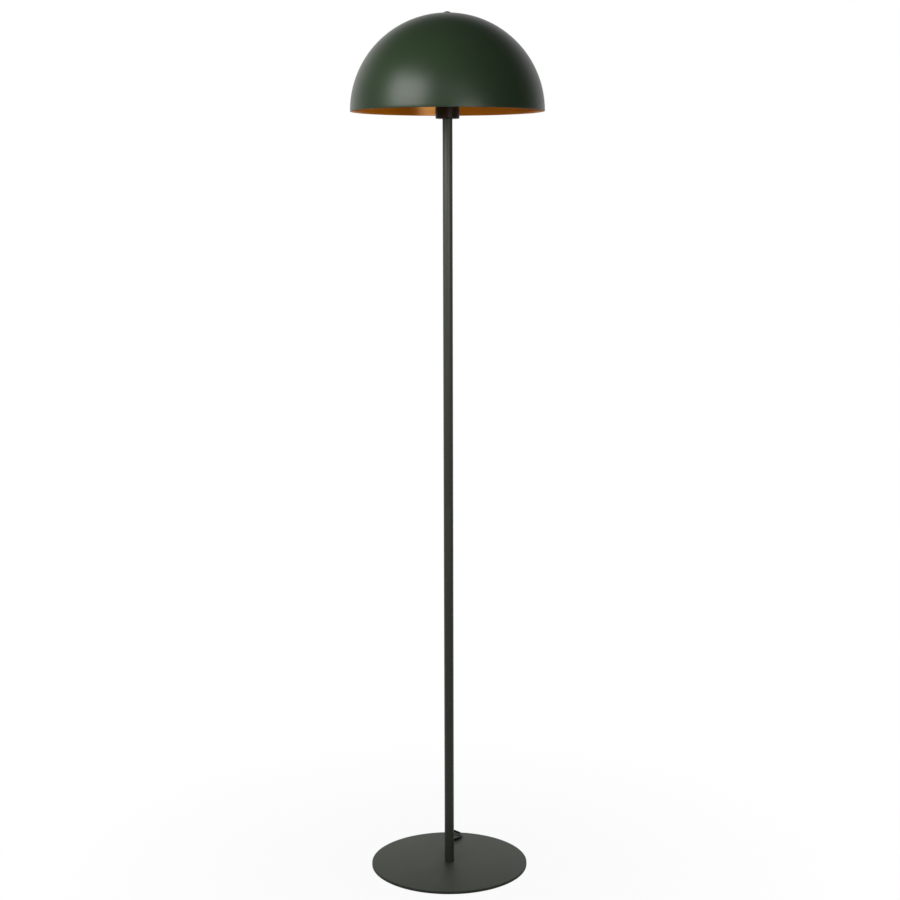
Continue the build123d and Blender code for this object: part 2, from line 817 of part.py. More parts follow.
# Hank: the cord folded to and fro in four layers that spiral in and out, tied at its waist
runs = hank_layers * hank_half_turns + 1
hank_middle = hank_start + hank_run / 2
largest_fold = hank_fold_radius + hank_half_turns * hank_step / 2
hank_level = hank_floor_gap + cord_radius + largest_fold
layers_reach = (hank_layers - 1) / 2 * hank_layer_pitch


def fold_radius(run):
    """The distance of a run from the hank's middle at its folds."""
    return hank_fold_radius + abs(hank_half_turns - run % (2 * hank_half_turns)) * hank_step / 2


def layer_place(layer):
    """The place of a layer across the hank."""
    return min(max(layer, 0), hank_layers - 1) * hank_layer_pitch - layers_reach


def draw_run(run):
    """One run, drawn in at the waist, and the fold that follows it. The last run has no fold."""
    way = 1 if run % 2 == 0 else -1
    side = -way
    start_y, end_y = (hank_start, hank_end) if way == 1 else (hank_end, hank_start)
    start_x, end_x = layer_place((run - 1) // hank_half_turns), layer_place(run // hank_half_turns)
    radius = fold_radius(run)
    start = Vector(start_x, start_y, hank_level + side * radius)
    waist = Vector((start_x + end_x) / 2, hank_middle, hank_level + side * (radius - hank_drawn_in))
    end = Vector(end_x, end_y, hank_level + side * radius)
    along = Vector(0, way, 0)
    across = Vector(end_x - start_x, way * hank_run, 0).normalized()
    biarc(start, along, waist, across)
    biarc(waist, across, end, along)
    if run < runs - 1:
        next_radius = fold_radius(run + 1)
        fold_end = Vector(end_x, end_y + way * (radius + next_radius) / 2, hank_level)
        next_start = Vector(end_x, end_y, hank_level - side * next_radius)
        biarc(end, along, fold_end, Vector(0, 0, -side))
        biarc(fold_end, Vector(0, 0, -side), next_start, -along)


straight_on = Vector(0, 1, 0)
switch_side = Vector(0, switch_end + cord_diameter, switch_split)
first_run = Vector(layer_place(0), hank_start, hank_level - fold_radius(0))
last_run = Vector(layer_place(hank_layers), hank_end, hank_level - fold_radius(runs - 1))
plug_side = plug_end - plug_way * cord_diameter

with BuildLine() as hank_route:
    Line((0, switch_end - switch_grip, switch_split), switch_side)
    biarc(switch_side, straight_on, first_run - straight_on * hank_lead_in, straight_on)
    Line(first_run - straight_on * hank_lead_in, first_run)
    for run in range(runs):
        draw_run(run)
    Line(last_run, last_run + straight_on * hank_lead_out)
    biarc(last_run + straight_on * hank_lead_out, straight_on, plug_side, plug_way)
    Line(plug_side, plug_end)
hank_path = hank_route.wire()
cord_hank = swept_cord(hank_path, cord_radius)

waist_curve = ((hank_run / 2) ** 2 + hank_drawn_in**2) / (4 * hank_drawn_in)
tie_margin = cord_radius + tie_gap
tie_rise = waist_curve - sqrt(waist_curve**2 - (tie_width / 2) ** 2)
tie_bottom = hank_level - (largest_fold - hank_drawn_in) - tie_rise - tie_margin
tie_top = hank_level + (largest_fold - hank_step / 2 - hank_drawn_in) + tie_rise + tie_margin
tie_place = (0, hank_middle - tie_width / 2, (tie_bottom + tie_top) / 2)
tie_room_width = 2 * (layers_reach + tie_margin)
tie_room_height = tie_top - tie_bottom

with BuildPart() as cord_tie:
    with BuildSketch(Plane(tie_place, (1, 0, 0), (0, 1, 0))):
        RectangleRounded(
            tie_room_width + 2 * tie_thickness,
            tie_room_height + 2 * tie_thickness,
            tie_margin + tie_thickness,
        )
        RectangleRounded(tie_room_width, tie_room_height, tie_margin, mode=Mode.SUBTRACT)
    extrude(amount=tie_width)


def least_gap(path, step, apart):
    """The least gap between stretches of a wound cord that lie apart along it."""
    count = int(path.length / step)
    points = [tuple(path.position_at(i / count)) for i in range(count + 1)]
    skip = int(apart / step)
    least = min(
        (a[0] - b[0]) ** 2 + (a[1] - b[1]) ** 2 + (a[2] - b[2]) ** 2
        for i, a in enumerate(points)
        for b in points[i + skip :]
    )
    return sqrt(least) - cord_diameter


print("hank gap", round(least_gap(hank_path, 2, 8 * cord_diameter), 2))
print("free cord", round(free_route.wire().length), "hank", round(hank_path.length))

# Names and files
pieces = {
    "base_pad": base_pad,
    "base_plate": base_plate,
    "base_screw": base_screw,
    "pole_foot_plug": pole_foot_plug,
    "lower_pole": lower_pole,
    "lower_joint_insert": lower_joint_insert,
    "joint_nipple": joint_nipple,
    "upper_joint_insert": upper_joint_insert,
    "upper_pole": upper_pole,
    "pole_top_plug": pole_top_plug,
    "holder_nipple": holder_nipple,
    "holder_cap": holder_cap,
    "holder_skirt": holder_skirt,
    "holder_insert": holder_insert,
    "holder_terminals": holder_terminals,
    "centre_contact": centre_contact,
    "screw_shell": screw_shell,
    "lower_shade_ring": lower_shade_ring,
    "upper_shade_ring": upper_shade_ring,
    "shade_frame": shade_frame,
    "lower_washer": lower_washer,
    "shade": shade,
    "upper_washer": upper_washer,
    "shade_screw": shade_screw,
    "bulb_contact": bulb_contact,
    "bulb_insulator": bulb_insulator,
    "bulb_cap": bulb_cap,
    "bulb_globe": bulb_globe,
    "inner_cord": inner_cord,
    "live_wire": live_wire,
    "neutral_wire": neutral_wire,
    "cord_relief": cord_relief,
    "cord_to_switch": cord_to_switch,
    "switch_lower_shell": switch_lower_shell,
    "switch_upper_shell": switch_upper_shell,
    "switch_rocker": switch_rocker,
    "switch_screws": switch_screws,
    "switch_contacts": switch_contacts,
    "cord_hank": cord_hank,
    "cord_tie": cord_tie,
    "plug_body": plug_body,
    "plug_pins": plug_pins,
}
os.makedirs("parts", exist_ok=True)
for name, piece in pieces.items():
    piece.part.label = name
    export_step(piece.part, f"parts/{name}.step")
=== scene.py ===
import json
import math

import bmesh
import bpy
from mathutils import Matrix, Vector


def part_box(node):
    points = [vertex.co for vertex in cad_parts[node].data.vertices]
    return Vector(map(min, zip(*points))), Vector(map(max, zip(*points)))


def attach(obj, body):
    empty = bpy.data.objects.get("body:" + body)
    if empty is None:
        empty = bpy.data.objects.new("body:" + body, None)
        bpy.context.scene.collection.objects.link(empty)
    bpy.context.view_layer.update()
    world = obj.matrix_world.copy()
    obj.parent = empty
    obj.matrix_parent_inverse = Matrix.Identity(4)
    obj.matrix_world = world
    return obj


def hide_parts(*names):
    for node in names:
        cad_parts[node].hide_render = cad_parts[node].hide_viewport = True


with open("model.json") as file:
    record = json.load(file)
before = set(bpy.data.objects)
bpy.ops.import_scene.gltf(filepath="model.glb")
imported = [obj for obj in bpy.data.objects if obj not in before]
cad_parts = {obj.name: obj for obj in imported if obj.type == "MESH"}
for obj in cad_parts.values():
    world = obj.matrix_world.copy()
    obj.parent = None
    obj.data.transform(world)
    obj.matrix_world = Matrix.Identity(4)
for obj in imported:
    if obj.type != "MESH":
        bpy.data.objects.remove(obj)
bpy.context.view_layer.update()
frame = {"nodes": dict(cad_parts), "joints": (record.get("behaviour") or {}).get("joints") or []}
nodes = frame["nodes"]
scene = bpy.context.scene
scene.view_settings.view_transform = "Standard"

# Viewpoint: the lamp seen from straight in front, a little below its shade and about 3.1 m away.
# The lens is a short telephoto one, and the picture is shifted up as a view camera does it.
look_down, roll = math.radians(10.261), math.radians(0.15)
viewpoint = bpy.data.objects.new("viewpoint", bpy.data.cameras.new("viewpoint"))
viewpoint.data.lens = 67.95
viewpoint.data.sensor_width = 36
viewpoint.data.shift_x = 0.0026
viewpoint.data.shift_y = 0.0556
viewpoint.location = (0, -3.12845, 1.28544)
viewpoint.rotation_euler = (math.pi / 2 - look_down, roll, 0)
scene.collection.objects.link(viewpoint)
scene.camera = viewpoint


# Studio: a white floor and backdrop under a dark ceiling. The main soft light hangs left of the shade
# and above its rim, with others on the right just below the rim, above in front, and behind.
class Value:
    """A socket of a node tree: sums and products add Math nodes, and node() adds any other."""

    def __init__(self, tree, socket=None):
        self.tree = tree
        self.socket = socket

    def node(self, kind, settings, sockets, out=0):
        made = self.tree.nodes.new(kind)
        for name, setting in settings.items():
            setattr(made, name, setting)
        for name, value in sockets.items():
            if isinstance(value, Value):
                self.tree.links.new(value.socket, made.inputs[name])
            else:
                made.inputs[name].default_value = value
        return Value(self.tree, made.outputs[out] if made.outputs else None)

    def maths(self, operation, first, second):
        return self.node("ShaderNodeMath", {"operation": operation}, {0: first, 1: second})

    def __add__(self, other):
        return self.maths("ADD", self, other)

    def __radd__(self, other):
        return self.maths("ADD", other, self)

    def __sub__(self, other):
        return self.maths("SUBTRACT", self, other)

    def __rsub__(self, other):
        return self.maths("SUBTRACT", other, self)

    def __mul__(self, other):
        return self.maths("MULTIPLY", self, other)

    def __rmul__(self, other):
        return self.maths("MULTIPLY", other, self)


def along_axis(vector, axis):
    """One of a vector's three numbers."""
    return vector.node("ShaderNodeSeparateXYZ", {}, {0: vector}, axis)


def fade(value, first, last, low, high):
    """Goes smoothly from low to high while a value goes from first to last."""
    return value.node(
        "ShaderNodeMapRange", {"interpolation_type": "SMOOTHSTEP"},
        {"Value": value, "From Min": first, "From Max": last, "To Min": low, "To Max": high}, "Result",
    )


def is_ray(start, kind):
    """1 for rays of a kind and 0 for the others."""
    return start.node("ShaderNodeLightPath", {}, {}, "Is " + kind + " Ray")


room = bpy.data.worlds.new("white_room")
room.use_nodes = True
room.node_tree.nodes.clear()
start = Value(room.node_tree)
direction = start.node("ShaderNodeTexCoord", {}, {}, "Generated")
to_right = along_axis(direction, "X")
to_back = along_axis(direction, "Y")
upwards = along_axis(direction, "Z")
backdrop = fade(to_back, first=0.25, last=0.9, low=0.12 - 0.08 * to_right, high=0.95 - 0.25 * to_right)
wall = fade(upwards, first=0.3, last=0.8, low=backdrop, high=0.06)
plain = start.maths("MAXIMUM", is_ray(start, "Camera"), is_ray(start, "Transmission"))
glow = start.node(
    "ShaderNodeBackground", {}, {"Color": (1, 1, 1, 1), "Strength": plain + (1 - plain) * wall}
)
start.node("ShaderNodeOutputWorld", {}, {"Surface": glow})
scene.world = room

floor_half = 9
floor_mesh = bpy.data.meshes.new("floor")
floor_mesh.from_pydata(
    [(x * floor_half, y * floor_half, 0) for x, y in ((-1, -1), (1, -1), (1, 1), (-1, 1))], [], [(0, 1, 2, 3)]
)
floor = bpy.data.objects.new("floor", floor_mesh)
scene.collection.objects.link(floor)
floor_white = bpy.data.materials.new("floor_white")
floor_white.use_nodes = True
floor_white.node_tree.nodes.clear()
start = Value(floor_white.node_tree)
place = start.node("ShaderNodeTexCoord", {}, {}, "Object")
away = start.node("ShaderNodeVectorMath", {"operation": "LENGTH"}, {0: place}, "Value")
behind = fade(along_axis(place, "Y"), first=-0.5, last=0.5, low=0.1, high=0.7)
paleness = fade(away, first=0.15, last=0.9, low=0.95, high=1.0)
lit = start.node("ShaderNodeBsdfDiffuse", {}, {"Color": (0.42, 0.42, 0.42, 1)})
white = start.node("ShaderNodeEmission", {}, {"Color": (1, 1, 1, 1), "Strength": 1.0})
plain = start.maths("MAXIMUM", is_ray(start, "Camera"), is_ray(start, "Glossy") * behind)
plain = start.maths("MAXIMUM", plain, is_ray(start, "Transmission"))
blend = start.node("ShaderNodeMixShader", {}, {0: plain * paleness, 1: lit, 2: white})
start.node("ShaderNodeOutputMaterial", {}, {"Surface": blend})
floor_mesh.materials.append(floor_white)


def soft_light(name, place, target, size, power, glare=True):
    """An oblong soft light of a width and a height, turned towards a point, with or without glare."""
    panel = bpy.data.lights.new(name, "AREA")
    panel.shape = "RECTANGLE"
    panel.size, panel.size_y = size
    panel.energy = power
    stand = bpy.data.objects.new(name, panel)
    stand.location = place
    stand.visible_camera = False
    stand.visible_glossy = glare
    stand.rotation_euler = (Vector(target) - Vector(place)).to_track_quat("-Z", "Y").to_euler()
    scene.collection.objects.link(stand)


soft_light("key_light", (-0.62, -0.64, 1.71), target=(0, -0.1, 1.46), size=(0.66, 0.54), power=7.7)
soft_light("fill_light", (0.55, -1.25, 1.33), target=(0, 0, 1.35), size=(0.5, 0.5), power=4)
soft_light("front_light", (0.3, -1.5, 1.95), target=(0, 0, 1.45), size=(0.9, 0.6), power=1.3)
soft_light("rear_light", (0.9, 1.5, 1.5), target=(0, 0.1, 0.8), size=(0.9, 0.9), power=10, glare=False)


# Base: a steel disc with a matt sprayed coat on a ring of black foam. One countersunk screw comes
# up through it into the plug that is fixed in the foot of the pole.
def new_finish(name, constants):
    """A material with its shader's fixed values, its shader and the start of its nodes."""
    material = bpy.data.materials.new(name)
    material.use_nodes = True
    shader = material.node_tree.nodes["Principled BSDF"]
    for socket, value in constants.items():
        shader.inputs[socket].default_value = value
    return material, shader, Value(material.node_tree)


def feed(shader, socket, value):
    """Links a value to one of the shader's sockets."""
    value.tree.links.new(value.socket, shader.inputs[socket])


def cloud(start, scale, detail=2.0, stretch=(1, 1, 1)):
    """Soft noise over a piece, in its own coordinates."""
    place = start.node("ShaderNodeTexCoord", {}, {}, "Object")
    place = start.node("ShaderNodeMapping", {}, {"Vector": place, "Scale": stretch}, "Vector")
    return start.node("ShaderNodeTexNoise", {}, {"Vector": place, "Scale": scale, "Detail": detail}, "Fac")


def tint(factor, colour, spread):
    """A colour that goes from a darker to a lighter shade of itself."""
    dark = [part * (1 - spread) for part in colour] + [1]
    pale = [part * (1 + spread) for part in colour] + [1]
    return factor.node("ShaderNodeMix", {"data_type": "RGBA"}, {0: factor, 6: dark, 7: pale}, 2)


def raise_grain(shader, height, strength, depth):
    """Makes the surface stand out a little where a value is high."""
    bump = height.node("ShaderNodeBump", {}, {"Strength": strength, "Distance": depth, "Height": height})
    feed(shader, "Normal", bump)


def sprayed(name, colour, roughness, grain, depth, gloss=0.5):
    """Sprayed paint: slightly uneven in colour and roughness, with a fine grain."""
    material, shader, start = new_finish(name, {"Specular IOR Level": gloss})
    broad = cloud(start, scale=14)
    fine = cloud(start, scale=grain, detail=3.0)
    feed(shader, "Base Color", tint(0.6 * broad + 0.4 * fine, colour, spread=0.14))
    feed(shader, "Roughness", roughness - 0.05 + 0.06 * broad + 0.05 * fine)
    raise_grain(shader, fine, strength=0.5, depth=depth)
    return material


def new_tree(name, sizes):
    """A node tree that takes a shape, named sizes and a finish: the tree, the shape and the others."""
    tree = bpy.data.node_groups.new(name, "GeometryNodeTree")
    kinds = {"Shape": "Geometry", **sizes, "Finish": "Material"}
    for label, kind in kinds.items():
        tree.interface.new_socket(label, in_out="INPUT", socket_type="NodeSocket" + kind)
    tree.interface.new_socket("Made", in_out="OUTPUT", socket_type="NodeSocketGeometry")
    shape, *others = (Value(tree).node("NodeGroupInput", {}, {}, label) for label in kinds)
    return tree, shape, others


def end_tree(made, finish):
    """Ends a tree: its instances become plain faces with a finish."""
    made = made.node("GeometryNodeRealizeInstances", {}, {0: made})
    made = made.node("GeometryNodeSetMaterial", {}, {"Geometry": made, "Material": finish})
    made.node("NodeGroupOutput", {}, {0: made})


merge_distance = 1e-6


def turning_tree():
    """Spins a profile, given as points in order in the XZ plane, round the Z axis."""
    tree, profile, (steps, finish) = new_tree("turned_piece", {"Steps round": "Int"})
    count = profile.node(
        "GeometryNodeAttributeDomainSize", {"component": "MESH"}, {0: profile}, "Point Count"
    )
    grid = profile.node(
        "GeometryNodeMeshGrid", {},
        {"Size X": 1.0, "Size Y": 1.0, "Vertices X": steps + 1, "Vertices Y": count}, "Mesh",
    )
    place = profile.node("GeometryNodeInputPosition", {}, {})
    across = along_axis(place, "X") + 0.5
    along = along_axis(place, "Y") + 0.5
    point = profile.node(
        "GeometryNodeSampleIndex", {"data_type": "FLOAT_VECTOR", "domain": "POINT"},
        {"Geometry": profile, "Value": place, "Index": along * (count - 1) + 0.5},
    )
    turned = profile.node(
        "ShaderNodeVectorRotate", {"rotation_type": "Z_AXIS"},
        {"Vector": point, "Angle": across * (2 * math.pi)},
    )
    skin = profile.node("GeometryNodeSetPosition", {}, {"Geometry": grid, "Position": turned})
    skin = profile.node("GeometryNodeMergeByDistance", {}, {"Geometry": skin, "Distance": merge_distance})
    end_tree(skin, finish)
    return tree


turned_piece = turning_tree()


def made_by(tree, name, mesh, inputs, soft_angle):
    """A piece made by a node tree, as a plain mesh with even normals."""
    piece = bpy.data.objects.new(name, mesh)
    scene.collection.objects.link(piece)
    maker = piece.modifiers.new("maker", "NODES")
    maker.node_group = tree
    for item in tree.interface.items_tree:
        if item.in_out == "INPUT" and item.name in inputs:
            maker[item.identifier] = inputs[item.name]
    shape = bpy.data.meshes.new_from_object(piece.evaluated_get(bpy.context.evaluated_depsgraph_get()))
    piece.modifiers.remove(maker)
    piece.data = shape
    shape.materials.clear()
    shape.materials.append(inputs["Finish"])
    work = bmesh.new()
    work.from_mesh(shape)
    bmesh.ops.remove_doubles(work, verts=work.verts, dist=merge_distance)
    bmesh.ops.recalc_face_normals(work, faces=work.faces)
    work.to_mesh(shape)
    work.free()
    shape.polygons.foreach_set("use_smooth", [True] * len(shape.polygons))
    shape.set_sharp_from_angle(angle=math.radians(soft_angle))
    shape.name = name
    return piece


def eased(corners):
    """A profile of (radius, height, ease) corners, each rounded by its ease."""
    places = [Vector((radius, 0, height)) for radius, height, ease in corners]
    steps = 4
    points = []
    for number, corner in enumerate(places):
        ease = corners[number][2]
        if ease == 0:
            points.append(corner)
            continue
        before = places[number - 1]
        after = places[(number + 1) % len(places)]
        first = corner + (before - corner).normalized() * ease
        last = corner + (after - corner).normalized() * ease
        for step in range(steps + 1):
            part = step / steps
            points.append(first.lerp(corner, part).lerp(corner.lerp(last, part), part))
    return points


def ring_of(corners):
    """A profile that closes on itself."""
    points = eased(corners)
    return points + points[:1]


def turned(name, points, finish, steps=96, soft_angle=40):
    """A turned piece from its profile's points."""
    profile = bpy.data.meshes.new(name)
    profile.from_pydata([tuple(point) for point in points], [], [])
    return made_by(turned_piece, name, profile, {"Steps round": steps, "Finish": finish}, soft_angle)


def round_size(node):
    """The radius, foot and head of a solid that is round about the pole's line."""
    low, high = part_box(node)
    return high.x, low.z, high.z


def settle(piece, body, slot, *stands_for):
    """The piece moves with a body and stands for solids. The finish's name that it is given is not used."""
    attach(piece, body)
    if stands_for:
        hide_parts(*stands_for)
    return piece


def solid_finish(material, *names):
    """Gives solids that keep their own shape a finish."""
    for name in names:
        nodes[name].data.materials.clear()
        nodes[name].data.materials.append(material)


base_coat = sprayed(
    "base_coat", (0.060, 0.074, 0.050), roughness=0.52, grain=900, depth=0.00016, gloss=0.41
)
disc_radius, disc_foot, disc_top = round_size("base_plate")
disc_edge, disc_foot_edge = 0.0009, 0.0004
screw_hole, sink_radius, sink_top = 0.00405, 0.0073, 0.00425
base_disc = turned(
    "base_disc",
    ring_of([
        (screw_hole, disc_top, 0), (disc_radius, disc_top, disc_edge),
        (disc_radius, disc_foot, disc_foot_edge), (sink_radius, disc_foot, 0), (screw_hole, sink_top, 0),
    ]),
    base_coat, steps=192,
)
settle(base_disc, "lamp", "base_paint", "base_plate")

foam, shader, start = new_finish("pad_foam", {"Specular IOR Level": 0.2})
place = start.node("ShaderNodeTexCoord", {}, {}, "Object")
cells = start.node("ShaderNodeTexVoronoi", {}, {"Vector": place, "Scale": 1400}, "Distance")
feed(shader, "Base Color", tint(cells, (0.02, 0.02, 0.021), spread=0.4))
feed(shader, "Roughness", 0.8 + 0.15 * cells)
raise_grain(shader, cells, strength=0.6, depth=0.0003)
solid_finish(foam, "base_pad")


def plated(name, colour, roughness, stretch):
    """Bare or plated metal with the fine lines that its machining leaves."""
    material, shader, start = new_finish(name, {"Metallic": 1.0})
    lines = cloud(start, scale=260, detail=3.0, stretch=stretch)
    stain = cloud(start, scale=45)
    feed(shader, "Base Color", tint(0.5 * lines + 0.5 * stain, colour, spread=0.12))
    feed(shader, "Roughness", roughness - 0.06 + 0.12 * lines + 0.06 * stain)
    raise_grain(shader, lines, strength=0.25, depth=0.0001)
    return material


zinc_plate = plated("zinc_plate", (0.56, 0.57, 0.58), roughness=0.34, stretch=(1, 1, 9))
solid_finish(
    zinc_plate, "base_screw", "pole_foot_plug", "lower_joint_insert", "joint_nipple", "upper_joint_insert",
    "pole_top_plug", "holder_nipple", "lower_washer", "switch_screws", "bulb_contact",
)

# Pole: two lengths of round steel tube, painted as dark as the base and a little glossier. They screw
# together half way up on a hidden hollow nipple, which leaves a hairline, and the cord runs inside them.
pole_paint = sprayed(
    "pole_paint", (0.083, 0.094, 0.071), roughness=0.38, grain=800, depth=0.00012, gloss=0.32
)
pole_wall, tube_edge = 0.0012, 0.0003
for name, node in (("lower_tube", "lower_pole"), ("upper_tube", "upper_pole")):
    tube_radius, foot, head = round_size(node)
    bore = tube_radius - pole_wall
    tube = turned(
        name,
        ring_of([
            (tube_radius, foot, tube_edge), (tube_radius, head, tube_edge), (bore, head, 0), (bore, foot, 0),
        ]),
        pole_paint, steps=64,
    )
    settle(tube, "lamp", "pole_paint", node)


# Lampholder: black moulded cap and skirt, the skirt with a coarse thread for the shade rings. Inside
# sit a white insert, two terminals and the brass contacts for the bulb.
def moulded(name, colour, roughness, grain, depth, gloss=0.5):
    """Moulded plastic with the fine grain of its mould."""
    material, shader, start = new_finish(name, {"Specular IOR Level": gloss})
    fine = cloud(start, scale=grain)
    broad = cloud(start, scale=30)
    feed(shader, "Base Color", tint(0.7 * broad + 0.3 * fine, colour, spread=0.15))
    feed(shader, "Roughness", roughness - 0.05 + 0.1 * fine + 0.04 * broad)
    raise_grain(shader, fine, strength=0.4, depth=depth)
    return material


def thread_tree():
    """A round ridge that climbs a cylinder."""
    tree, blank, (radius, pitch, turns, foot, ridge, finish) = new_tree(
        "screw_thread",
        {"Radius": "Float", "Pitch": "Float", "Turns": "Float", "Foot": "Float", "Ridge": "Float"},
    )
    line = blank.node(
        "GeometryNodeCurveSpiral", {},
        {"Resolution": 48, "Rotations": turns, "Start Radius": radius, "End Radius": radius,
         "Height": pitch * turns, "Reverse": False},
    )
    lift = blank.node("ShaderNodeCombineXYZ", {}, {"Z": foot})
    line = blank.node("GeometryNodeTransform", {}, {"Geometry": line, "Translation": lift})
    section = blank.node(
        "GeometryNodeCurvePrimitiveCircle", {"mode": "RADIUS"}, {"Resolution": 8, "Radius": ridge}
    )
    skin = blank.node(
        "GeometryNodeCurveToMesh", {}, {"Curve": line, "Profile Curve": section, "Fill Caps": True}
    )
    end_tree(skin, finish)
    return tree


screw_thread = thread_tree()


def thread(name, finish, radius, pitch, turns, foot, ridge):
    """A rolled or moulded thread on a turned piece."""
    sizes = {"Radius": radius, "Pitch": pitch, "Turns": turns, "Foot": foot, "Ridge": ridge, "Finish": finish}
    return made_by(screw_thread, name, bpy.data.meshes.new(name), sizes, soft_angle=60)


holder_black = moulded(
    "holder_black", (0.021, 0.013, 0.0035), roughness=0.44, grain=1500, depth=0.00004, gloss=0.28
)
cup_radius, cup_foot, cup_top = round_size("holder_cap")
thread_radius, sleeve_foot, sleeve_top = round_size("holder_skirt")
thread_room = thread_radius + 0.00005
nipple_hole, boss_radius, cup_floor, boss_top = 0.00505, 0.008, cup_foot + 0.003, cup_foot + 0.010
cup_foot_edge, cup_edge, cup_mouth_edge = 0.0016, 0.0006, 0.0003
holder_cup = turned(
    "holder_cup",
    ring_of([
        (nipple_hole, cup_foot, 0), (cup_radius, cup_foot, cup_foot_edge), (cup_radius, cup_top, cup_edge),
        (thread_room, cup_top, cup_mouth_edge), (thread_room, cup_floor, 0), (boss_radius, cup_floor, 0),
        (boss_radius, boss_top, 0), (nipple_hole, boss_top, 0),
    ]),
    holder_black,
)
settle(holder_cup, "lamp", "holder_plastic", "holder_cap")
thread_rise, thread_inset = 0.0008, 0.0025
sleeve_radius = thread_radius - thread_rise
mouth_radius, insert_radius, shoulder = 0.0151, 0.0165, sleeve_foot + 0.018
sleeve_foot_edge, sleeve_edge, mouth_edge = 0.0004, 0.0006, 0.0005
holder_sleeve = turned(
    "holder_sleeve",
    ring_of([
        (sleeve_radius, sleeve_foot, sleeve_foot_edge), (sleeve_radius, sleeve_top, sleeve_edge),
        (mouth_radius, sleeve_top, mouth_edge), (mouth_radius, shoulder, 0), (insert_radius, shoulder, 0),
        (insert_radius, sleeve_foot, 0),
    ]),
    holder_black,
)
settle(holder_sleeve, "lamp", "holder_plastic", "holder_skirt")
holder_thread = thread(
    "holder_thread", holder_black, sleeve_radius, pitch=0.0026, turns=16, foot=sleeve_foot + thread_inset,
    ridge=0.00078,
)
settle(holder_thread, "lamp", "holder_plastic")

insert_white = moulded("insert_white", (0.74, 0.73, 0.69), roughness=0.45, grain=800, depth=0.00005)
solid_finish(insert_white, "holder_insert")
brass_sheet = plated("brass_sheet", (0.80, 0.58, 0.26), roughness=0.28, stretch=(1, 1, 6))
solid_finish(brass_sheet, "holder_terminals", "centre_contact", "screw_shell", "switch_contacts")


# Shade carrier: two ribbed rings on the holder's thread clamp a pressed plate. Two bowed wires rise
# from it round the bulb to a threaded boss under the shade.
def ribs_tree():
    """Upright beads standing round a ring."""
    tree, blank, (radius, count, bead, height, middle, finish) = new_tree(
        "ring_of_ribs",
        {"Radius": "Float", "Count": "Int", "Bead": "Float", "Height": "Float", "Middle": "Float"},
    )
    circle = blank.node("GeometryNodeMeshCircle", {}, {"Vertices": count, "Radius": radius})
    lift = blank.node("ShaderNodeCombineXYZ", {}, {"Z": middle})
    circle = blank.node("GeometryNodeTransform", {}, {"Geometry": circle, "Translation": lift})
    rib = blank.node(
        "GeometryNodeMeshCylinder", {}, {"Vertices": 10, "Radius": bead, "Depth": height}, "Mesh"
    )
    ribs = blank.node("GeometryNodeInstanceOnPoints", {}, {"Points": circle, "Instance": rib})
    end_tree(ribs, finish)
    return tree


ring_of_ribs = ribs_tree()
rib_count, rib_bead, rib_rise, rib_height = 40, 0.0007, 0.0006, 0.0036
ring_edge, thread_edge = 0.0006, 0.0004
for name, node in (("lower_clamp_ring", "lower_shade_ring"), ("upper_clamp_ring", "upper_shade_ring")):
    rib_reach, foot, head = round_size(node)
    ring_radius = rib_reach - rib_rise
    ring = turned(
        name,
        ring_of([
            (thread_room, foot, 0), (ring_radius, foot, ring_edge), (ring_radius, head, ring_edge),
            (thread_room, head, thread_edge),
        ]),
        holder_black,
    )
    settle(ring, "lamp", "holder_plastic", node)
    ribs = made_by(
        ring_of_ribs, name + "_ribs", bpy.data.meshes.new(name + "_ribs"),
        {"Radius": rib_reach - rib_bead, "Count": rib_count, "Bead": rib_bead, "Height": rib_height,
         "Middle": (foot + head) / 2, "Finish": holder_black},
        soft_angle=50,
    )
    settle(ribs, "lamp", "holder_plastic")

frame_paint = sprayed("frame_paint", (0.022, 0.021, 0.02), roughness=0.4, grain=800, depth=0.00005)
solid_finish(frame_paint, "shade_frame")

# Shade: one half-round dome spun from sheet metal, matt dark green outside and warm gold inside. One
# button-head screw holds it at its top, between two washers.
shade_green = sprayed(
    "shade_green", (0.022, 0.040, 0.018), roughness=0.36, grain=1000, depth=0.00014, gloss=0.4
)
shade_gold, shader, start = new_finish(
    "shade_gold", {"Metallic": 0.1, "Specular IOR Level": 0.9, "Specular Tint": (1, 0.75, 0.45, 1)}
)
spin = cloud(start, scale=120, detail=3.0, stretch=(0.02, 0.02, 1))
flake = cloud(start, scale=1600)
feed(shader, "Base Color", tint(0.6 * spin + 0.4 * flake, (0.92, 0.335, 0.008), spread=0.08))
feed(shader, "Roughness", 0.17 + 0.1 * spin + 0.08 * flake)
raise_grain(shader, spin, strength=0.3, depth=0.0001)

shade_radius, shade_rim, shade_top = round_size("shade")
dome_rise, dome_steps, shade_wall, shade_hole = 0.1714, 56, 0.001, 0.0031
rim_lift, rim_steps = 0.0004, 6


def dome_points(inset):
    """A quarter ellipse from the flat seat down to the rim, inside the outer face by an inset."""
    radius, rise, seat_height = shade_radius - inset, dome_rise - inset, shade_top - inset - shade_rim
    seat = math.asin(seat_height / rise)
    return [
        Vector((radius * math.cos(turn), 0, shade_rim + rise * math.sin(turn)))
        for turn in (seat * (1 - step / dome_steps) for step in range(dome_steps + 1))
    ]


